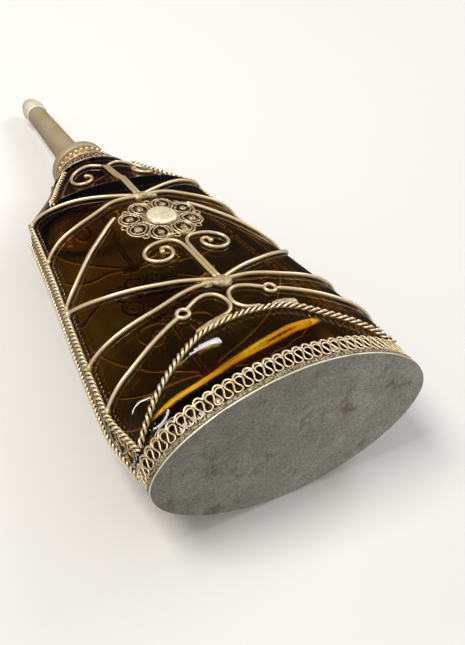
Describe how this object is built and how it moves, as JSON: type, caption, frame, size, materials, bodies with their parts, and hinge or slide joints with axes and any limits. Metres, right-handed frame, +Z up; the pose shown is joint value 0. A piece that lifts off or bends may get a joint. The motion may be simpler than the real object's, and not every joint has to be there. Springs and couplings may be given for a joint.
{
  "type": "perfume sprinkler bottle",
  "caption": "Flattened amber glass sprinkler bottle in a soldered wire and filigree cage, with an oval base, a screw-on spout and a pull-off cap.",
  "frame": {"origin": "middle of the flat underside of the oval base plate", "axes": "+Z up along the bottle's axis, X along the wide way of the oval base, -Y out of the front face"},
  "size_m": [0.0904, 0.051, 0.2125],
  "materials": {
    "amber_glass": "dark amber-brown bottle glass, glossy",
    "base_sheet": "grey tarnished nickel-silver sheet, satin with stains",
    "silver_wire": "warm nickel-silver wire, worn bright on top",
    "silver_rope": "twisted nickel-silver wire, dark in the grooves",
    "filigree": "nickel-silver filigree with dark patina in the recesses",
    "solder": "rough pale solder",
    "rosette_disc": "pale hammered sheet",
    "silver_sheet": "worn nickel-silver sheet",
    "plaster": "hard pale plaster",
    "washer_leather": "tan leather washer",
    "spout_metal": "matte tarnished nickel-silver tube",
    "cap_metal": "brighter polished nickel silver"
  },
  "bodies": {
    "flask": {"glass_bottle": "amber_glass", "base_plate": "base_sheet", "base_strip": "silver_sheet", "gallery_lattice": "filigree", "gallery_top_wire": "silver_wire", "side_rope_left_front": "silver_rope", "side_rope_left_back": "silver_rope", "side_rope_right_front": "silver_rope", "side_rope_right_back": "silver_rope", "side_lattice_left": "filigree", "side_lattice_right": "filigree", "arch_rope_front": "silver_rope", "arch_rope_back": "silver_rope", "rib_wires_front": "silver_wire", "rib_wires_back": "silver_wire", "solder_joints_front": "solder", "solder_joints_back": "solder", "rosette_front": "filigree", "rosette_back": "filigree", "rosette_disc_front": "rosette_disc", "rosette_disc_back": "rosette_disc", "stem_scrolls_front": "silver_wire", "stem_scrolls_back": "silver_wire", "ring_loops_front": "silver_wire", "ring_loops_back": "silver_wire", "shoulder_scrolls_front": "silver_wire", "shoulder_scrolls_back": "silver_wire", "shoulder_stem_front": "silver_wire", "shoulder_stem_back": "silver_wire", "shoulder_rope_left": "silver_rope", "shoulder_rope_right": "silver_rope", "shoulder_loop_left": "silver_wire", "shoulder_loop_right": "silver_wire", "neck_skirt": "filigree", "bead_ring": "silver_sheet", "neck_cement": "plaster", "neck_ferrule": "silver_sheet"},
    "washer": {"sealing_washer": "washer_leather"},
    "spout": {"sprinkler_spout": "spout_metal", "sprinkler_disc": "silver_sheet"},
    "cap": {"spout_cap": "cap_metal"}
  },
  "joints": [
    {"name": "washer_lift", "type": "slide", "parent": "flask", "child": "washer", "axis": [0, 0, 1], "range_m": [0, 0.0075]},
    {"name": "spout_turn", "type": "hinge", "parent": "washer", "child": "spout", "pos_m": [0, 0, 0.15], "axis": [0, 0, 1], "range_deg": [0, 1080]},
    {"name": "cap_pull", "type": "slide", "parent": "spout", "child": "cap", "axis": [0, 0, 1], "range_m": [0, 0.014]}
  ],
  "couplings": [
    {"joint": "spout_turn", "follows": "washer_lift", "rad_per_m": 2513}
  ]
}
